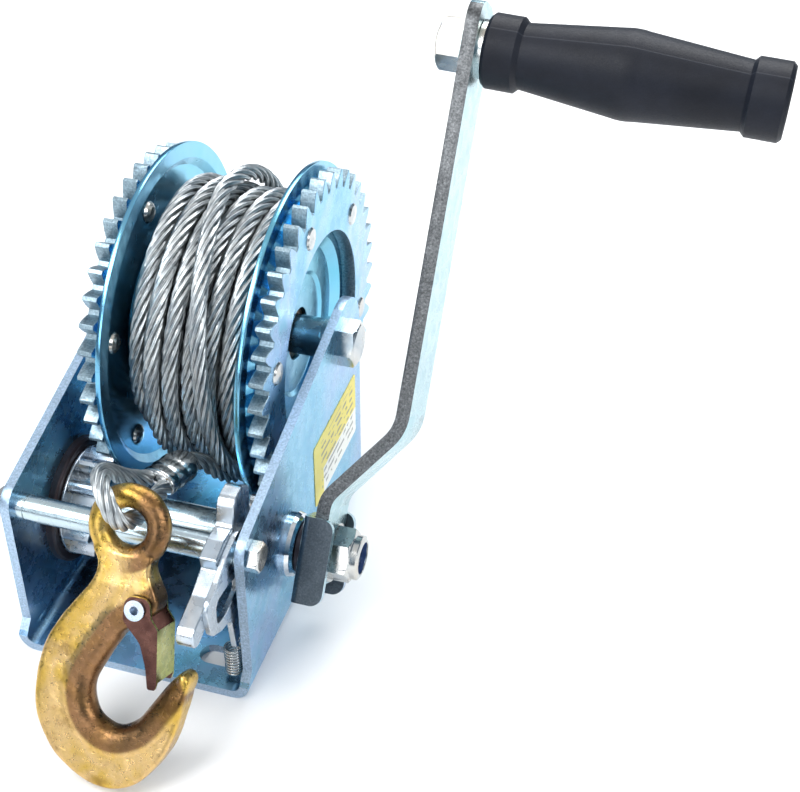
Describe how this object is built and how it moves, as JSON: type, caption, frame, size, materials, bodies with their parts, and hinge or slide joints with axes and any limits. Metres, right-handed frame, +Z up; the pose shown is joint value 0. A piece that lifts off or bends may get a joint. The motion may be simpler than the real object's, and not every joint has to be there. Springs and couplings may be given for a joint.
{
  "type": "boat trailer winch",
  "caption": "Hand-cranked trailer winch with a folded steel frame, geared wire-rope drum, sprung pawl, cranked handle and snap hook.",
  "frame": {"origin": "centre of the base's underside, midway between the side plates' outer faces and midway along them", "axes": "+Z up from the base, +X towards the crank side, -Y towards the rope's way out"},
  "size_m": [0.2502, 0.2334, 0.2025],
  "materials": {
    "zinc_sheet": "blue-tinted zinc plate",
    "zinc_turned": "bright zinc plate",
    "zinc_gear": "blue zinc plate on stamped steel",
    "zinc_crank": "blue zinc plate, sheared edges dull",
    "fastener": "bright zinc plate",
    "chrome_cap": "polished",
    "dark_steel": "dark oxide, satin",
    "nylon_blue": "satin nylon",
    "rope_steel": "galvanised wire",
    "ferrule_steel": "crimped, satin",
    "hook_zinc": "yellow passivated zinc over forging",
    "latch_zinc": "yellow passivated zinc sheet",
    "grip_plastic": "fine texture",
    "label_film": "printed film, blank",
    "bronze": "sintered bronze"
  },
  "bodies": {
    "base": {"frame": "zinc_sheet", "label": "label_film", "axle_bolt": "fastener", "axle_nut": "fastener", "axle_sleeve": "zinc_turned", "axle_spacer_left": "zinc_turned", "axle_spacer_right": "zinc_turned", "pawl_rod": "zinc_turned", "pawl_rod_bolt": "fastener", "pawl_rod_nut": "fastener", "drive_bushing_right": "chrome_cap", "drive_bushing_left": "chrome_cap", "thrust_disc": "dark_steel", "rope_tail": "rope_steel", "rope_ferrule": "ferrule_steel", "rope_loop": "rope_steel", "pawl_spring": "fastener"},
    "drum": {"drum_hub": "zinc_turned", "hub_bushings": "bronze", "drum_flange_left": "zinc_gear", "drum_flange_right": "zinc_gear", "drum_gear_left": "zinc_gear", "drum_gear_right": "zinc_gear", "rivets_left": "fastener", "rivets_right": "fastener", "rope_winding": "rope_steel", "rope_anchor": "fastener"},
    "drive": {"drive_shaft": "zinc_turned", "shaft_clip": "dark_steel", "pinion_left": "zinc_gear", "pinion_right": "zinc_gear", "crank_spacer": "dark_steel", "crank_bracket": "zinc_crank", "crank_arm": "zinc_crank", "crank_washer": "fastener", "crank_nut": "fastener", "crank_nut_insert": "nylon_blue", "grip_bolt": "fastener", "grip_washer": "fastener", "grip_nut": "fastener"},
    "grip": {"grip": "grip_plastic", "grip_cap": "grip_plastic"},
    "pawl": {"pawl": "zinc_crank", "pawl_lever": "zinc_sheet"},
    "hook": {"hook": "hook_zinc", "latch_rivet": "fastener"},
    "latch": {"latch": "latch_zinc"}
  },
  "joints": [
    {"name": "drum_spin", "type": "hinge", "parent": "base", "child": "drum", "pos_m": [0, 0.044, 0.0815], "axis": [1, 0, 0], "continuous": true},
    {"name": "drive_spin", "type": "hinge", "parent": "base", "child": "drive", "pos_m": [0, -0.01966, 0.03388], "axis": [1, 0, 0], "continuous": true},
    {"name": "grip_spin", "type": "hinge", "parent": "drive", "child": "grip", "pos_m": [0.13845, 0.08924, 0.18376], "axis": [0.9991, -0.0251, -0.0346], "continuous": true},
    {"name": "pawl_swing", "type": "hinge", "parent": "base", "child": "pawl", "pos_m": [0.035, -0.057, 0.062], "axis": [1, 0, 0], "range_deg": [0, 38], "stiffness_Nm_per_rad": 0.05, "springref_deg": -22.92, "deforming": ["pawl_spring"]},
    {"name": "hook_swing", "type": "hinge", "parent": "base", "child": "hook", "pos_m": [0.0102, -0.06802, 0.08956], "axis": [-1, 0, 0], "range_deg": [-20, 35]},
    {"name": "latch_swing", "type": "hinge", "parent": "hook", "child": "latch", "pos_m": [0.0186, -0.08609, 0.05889], "axis": [0, 0.8616, -0.5075], "range_deg": [0, 28], "stiffness_Nm_per_rad": 0.01, "springref_deg": -28.65}
  ],
  "couplings": [
    {"joint": "drive_spin", "follows": "drum_spin", "ratio": -3.4167}
  ]
}
